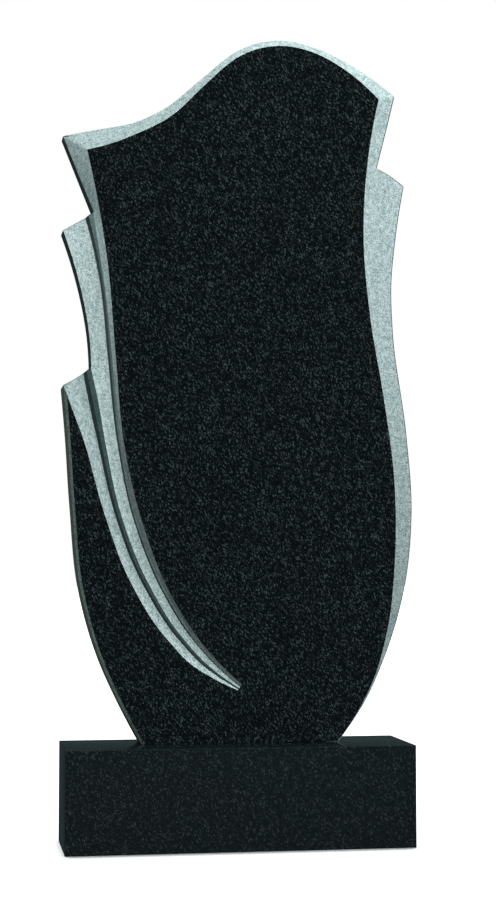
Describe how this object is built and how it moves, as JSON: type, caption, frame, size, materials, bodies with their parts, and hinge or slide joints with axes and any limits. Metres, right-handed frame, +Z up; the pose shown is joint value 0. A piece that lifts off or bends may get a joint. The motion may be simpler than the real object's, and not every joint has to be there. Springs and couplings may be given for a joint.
{
  "type": "headstone",
  "caption": "Upright carved granite headstone with an S-curved top, frosted bevels, overlapping leaf bands down its left side and a plain plinth.",
  "frame": {"origin": "centre of the plinth's underside, on the ground", "axes": "+Z up; the polished, carved front faces -Y; +X is to the right when looking at that front"},
  "size_m": [0.5182, 0.15, 1.1806],
  "materials": {
    "plinth_granite": "polished",
    "stele_granite": "polished face, ground bevels"
  },
  "bodies": {
    "root": {"plinth": "plinth_granite", "stele": "stele_granite"}
  },
  "joints": []
}
